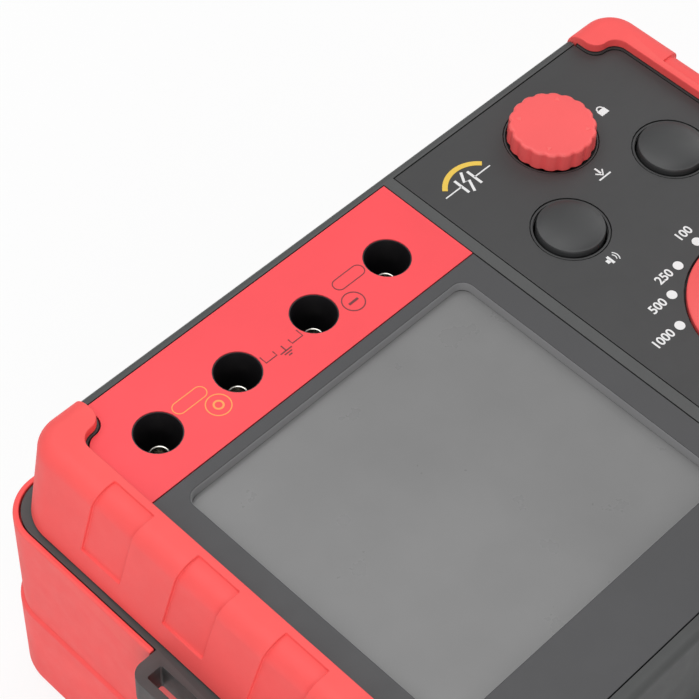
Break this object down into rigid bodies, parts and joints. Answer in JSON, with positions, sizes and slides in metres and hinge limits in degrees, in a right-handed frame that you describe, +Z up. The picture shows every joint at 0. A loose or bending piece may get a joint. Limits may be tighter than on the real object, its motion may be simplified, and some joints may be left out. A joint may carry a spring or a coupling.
{
  "type": "insulation resistance tester",
  "caption": "Bench and hand-held insulation resistance tester: boxy case with soft end boots, a display, round test sockets, a press knob, keys and a range dial.",
  "frame": {"origin": "middle of the footprint, on the surface that the tester lies on", "axes": "+X to the user's right along the longest side, +Y away from the user, +Z up out of the face"},
  "size_m": [0.2178, 0.1462, 0.0945],
  "materials": {
    "case_plastic": "fine matte moulded plastic",
    "boot_rubber": "soft matte rubber",
    "panel_red": "smooth printed plastic",
    "knob_red": "satin moulded plastic",
    "inlay_grey": "fine textured printed foil",
    "key_black": "satin silicone rubber",
    "display_glass": "polished",
    "display_back": "satin diffuser",
    "dark_plastic": "matte",
    "nickel": "polished nickel plate",
    "steel": "zinc plated",
    "board": "solder mask",
    "copper": "lacquered winding",
    "ceramic": "glazed",
    "cell_sleeve": "shrink sleeve"
  },
  "bodies": {
    "case": {"front_case": "case_plastic", "rear_case": "case_plastic", "front_boot_left": "boot_rubber", "front_boot_right": "boot_rubber", "rear_boot_left": "boot_rubber", "rear_boot_right": "boot_rubber", "socket_panel": "panel_red", "display_bezel": "case_plastic", "display_glass": "display_glass", "display_backlight": "display_back", "display_carrier": "dark_plastic", "control_inlay": "inlay_grey", "socket_housing_1": "dark_plastic", "socket_housing_2": "dark_plastic", "socket_housing_3": "dark_plastic", "socket_housing_4": "dark_plastic", "socket_contact_1": "nickel", "socket_contact_2": "nickel", "socket_contact_3": "nickel", "socket_contact_4": "nickel", "test_switch": "dark_plastic", "test_spring": "steel", "hold_switch": "dark_plastic", "power_switch": "dark_plastic", "rotary_switch": "dark_plastic", "main_board": "board", "step_up_transformer": "copper", "high_voltage_module": "dark_plastic", "discharge_resistor": "ceramic", "buzzer": "dark_plastic", "fuse": "ceramic", "fuse_holder": "steel", "battery_cell_left_1": "cell_sleeve", "battery_cell_left_2": "cell_sleeve", "battery_cell_left_3": "cell_sleeve", "battery_cell_right_1": "cell_sleeve", "battery_cell_right_2": "cell_sleeve", "battery_cell_right_3": "cell_sleeve", "battery_contact_left": "nickel", "battery_contact_right": "nickel", "case_screw_1": "steel", "case_screw_2": "steel", "case_screw_3": "steel", "case_screw_4": "steel"},
    "test_plunger": {"test_plunger": "dark_plastic"},
    "test_knob": {"test_knob": "knob_red"},
    "hold_key": {"hold_key": "key_black"},
    "power_key": {"power_key": "key_black"},
    "range_dial": {"range_dial": "knob_red"},
    "battery_door": {"battery_door": "case_plastic"}
  },
  "joints": [
    {"name": "test_press", "type": "slide", "parent": "case", "child": "test_plunger", "axis": [0, 0, -1], "range_m": [0, 0.0025], "stiffness_N_per_m": 500, "springref_m": -0.001, "deforming": ["test_spring"]},
    {"name": "test_lock", "type": "hinge", "parent": "test_plunger", "child": "test_knob", "pos_m": [0.0525, 0.0468, 0.0875], "axis": [0, 0, -1], "range_deg": [0, 90]},
    {"name": "hold_press", "type": "slide", "parent": "case", "child": "hold_key", "axis": [0, 0, -1], "range_m": [0, 0.0012], "stiffness_N_per_m": 600, "springref_m": -0.0005},
    {"name": "power_press", "type": "slide", "parent": "case", "child": "power_key", "axis": [0, 0, -1], "range_m": [0, 0.0012], "stiffness_N_per_m": 600, "springref_m": -0.0005},
    {"name": "dial_turn", "type": "hinge", "parent": "case", "child": "range_dial", "pos_m": [0.0525, -0.0235, 0.0875], "axis": [0, 0, 1], "range_deg": [-60, 60]},
    {"name": "door_slide", "type": "slide", "parent": "case", "child": "battery_door", "axis": [0, -1, 0], "range_m": [0, 0.06]}
  ]
}
